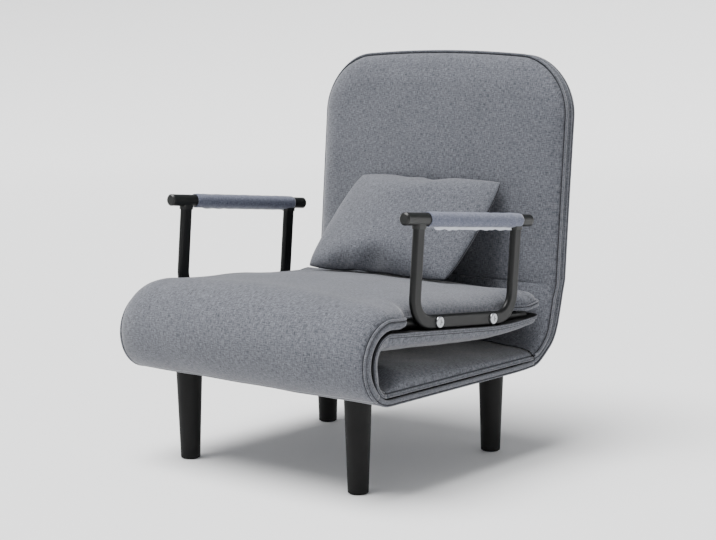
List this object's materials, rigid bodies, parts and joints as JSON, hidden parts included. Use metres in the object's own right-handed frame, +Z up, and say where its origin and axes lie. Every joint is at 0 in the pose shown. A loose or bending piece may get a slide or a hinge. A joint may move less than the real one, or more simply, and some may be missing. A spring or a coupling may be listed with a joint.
{
  "type": "convertible chair bed",
  "caption": "Fold-out single chair bed: an upholstered seat folded over its base on tapered legs, reclining back, tube armrests that become feet, and a loose pillow.",
  "frame": {"origin": "on the floor under the middle of the chair's overall box", "axes": "+X to the right of someone looking at the chair's front, -Y to the front, +Z up"},
  "size_m": [0.626, 0.7211, 0.8131],
  "materials": {
    "leg_plastic": "matt black",
    "hinge_steel": "zinc plated",
    "rubber": "matt",
    "black_tube": "black powder coat, low sheen",
    "cover_fabric": "woven blue-grey linen look",
    "mattress_fabric": "woven blue-grey linen look over foam",
    "pillow_fabric": "woven blue-grey linen look",
    "sleeve_fabric": "woven blue-grey linen look",
    "cap_plastic": "moulded, satin",
    "bolt_steel": "bright plated"
  },
  "bodies": {
    "base": {"leg_front_left": "leg_plastic", "leg_front_right": "leg_plastic", "leg_rear_left": "leg_plastic", "leg_rear_right": "leg_plastic", "leg_studs": "hinge_steel", "leg_sockets": "hinge_steel", "leg_glides": "rubber", "base_rail_left": "black_tube", "base_rail_right": "black_tube", "base_cross_bars": "black_tube", "base_slats": "black_tube", "base_cover": "cover_fabric", "base_mattress": "mattress_fabric", "base_hinge_lugs": "hinge_steel", "base_hinge_pins": "hinge_steel", "nose_cover_lower": "cover_fabric", "fold_mattress_lower": "mattress_fabric", "ratchet_base_plates": "hinge_steel", "ratchet_pins": "hinge_steel", "ratchet_pawls": "hinge_steel", "pawl_pins": "hinge_steel", "pawl_springs": "hinge_steel", "corner_cover": "cover_fabric", "corner_mattress": "mattress_fabric"},
    "front_link": {"front_link_left": "hinge_steel", "front_link_right": "hinge_steel", "link_tie_rod": "hinge_steel"},
    "seat": {"seat_rail_left": "black_tube", "seat_rail_right": "black_tube", "seat_cross_bars": "black_tube", "seat_slats": "black_tube", "seat_hinge_lugs": "hinge_steel", "seat_hinge_pins": "hinge_steel", "seat_cover": "cover_fabric", "seat_mattress": "mattress_fabric", "nose_cover_upper": "cover_fabric", "fold_mattress_upper": "mattress_fabric", "armrest_tube_left": "black_tube", "armrest_tube_right": "black_tube", "armrest_bars": "black_tube", "armrest_caps_front": "cap_plastic", "armrest_caps_rear": "cap_plastic", "armrest_sleeve_left": "sleeve_fabric", "armrest_sleeve_right": "sleeve_fabric", "armrest_bolts": "bolt_steel", "armrest_washers": "hinge_steel", "armrest_nuts": "hinge_steel"},
    "back": {"back_rail_left": "black_tube", "back_rail_right": "black_tube", "back_cross_bars": "black_tube", "back_slats": "black_tube", "back_cover": "cover_fabric", "back_mattress": "mattress_fabric", "ratchet_wheels": "hinge_steel", "ratchet_back_plates": "hinge_steel", "head_leg_brackets": "hinge_steel", "head_leg_pins": "hinge_steel"},
    "head_support": {"head_leg": "black_tube", "head_leg_feet": "rubber"},
    "pillow": {"pillow": "pillow_fabric"}
  },
  "joints": [
    {"name": "front_link_fold", "type": "hinge", "parent": "base", "child": "front_link", "pos_m": [0, -0.265, 0.198], "axis": [1, 0, 0], "range_deg": [0, 84.25], "deforming": ["nose_cover_lower", "fold_mattress_lower"]},
    {"name": "seat_fold", "type": "hinge", "parent": "front_link", "child": "seat", "pos_m": [0, -0.265, 0.318], "axis": [1, 0, 0], "range_deg": [0, 100.96], "deforming": ["nose_cover_upper", "fold_mattress_upper"]},
    {"name": "back_recline", "type": "hinge", "parent": "base", "child": "back", "pos_m": [0, 0.24601, 0.235], "axis": [-1, 0, 0], "range_deg": [0, 85.5], "deforming": ["corner_cover", "corner_mattress"]},
    {"name": "head_leg_fold", "type": "hinge", "parent": "back", "child": "head_support", "pos_m": [0, 0.34923, 0.68629], "axis": [1, 0, 0], "range_deg": [0, 90]},
    {"name": "pillow_lift", "type": "slide", "parent": "seat", "child": "pillow", "axis": [0, 0, 1], "range_m": [0, 0.3]}
  ],
  "couplings": [
    {"joint": "seat_fold", "follows": "front_link_fold", "ratio": 1.1982}
  ]
}
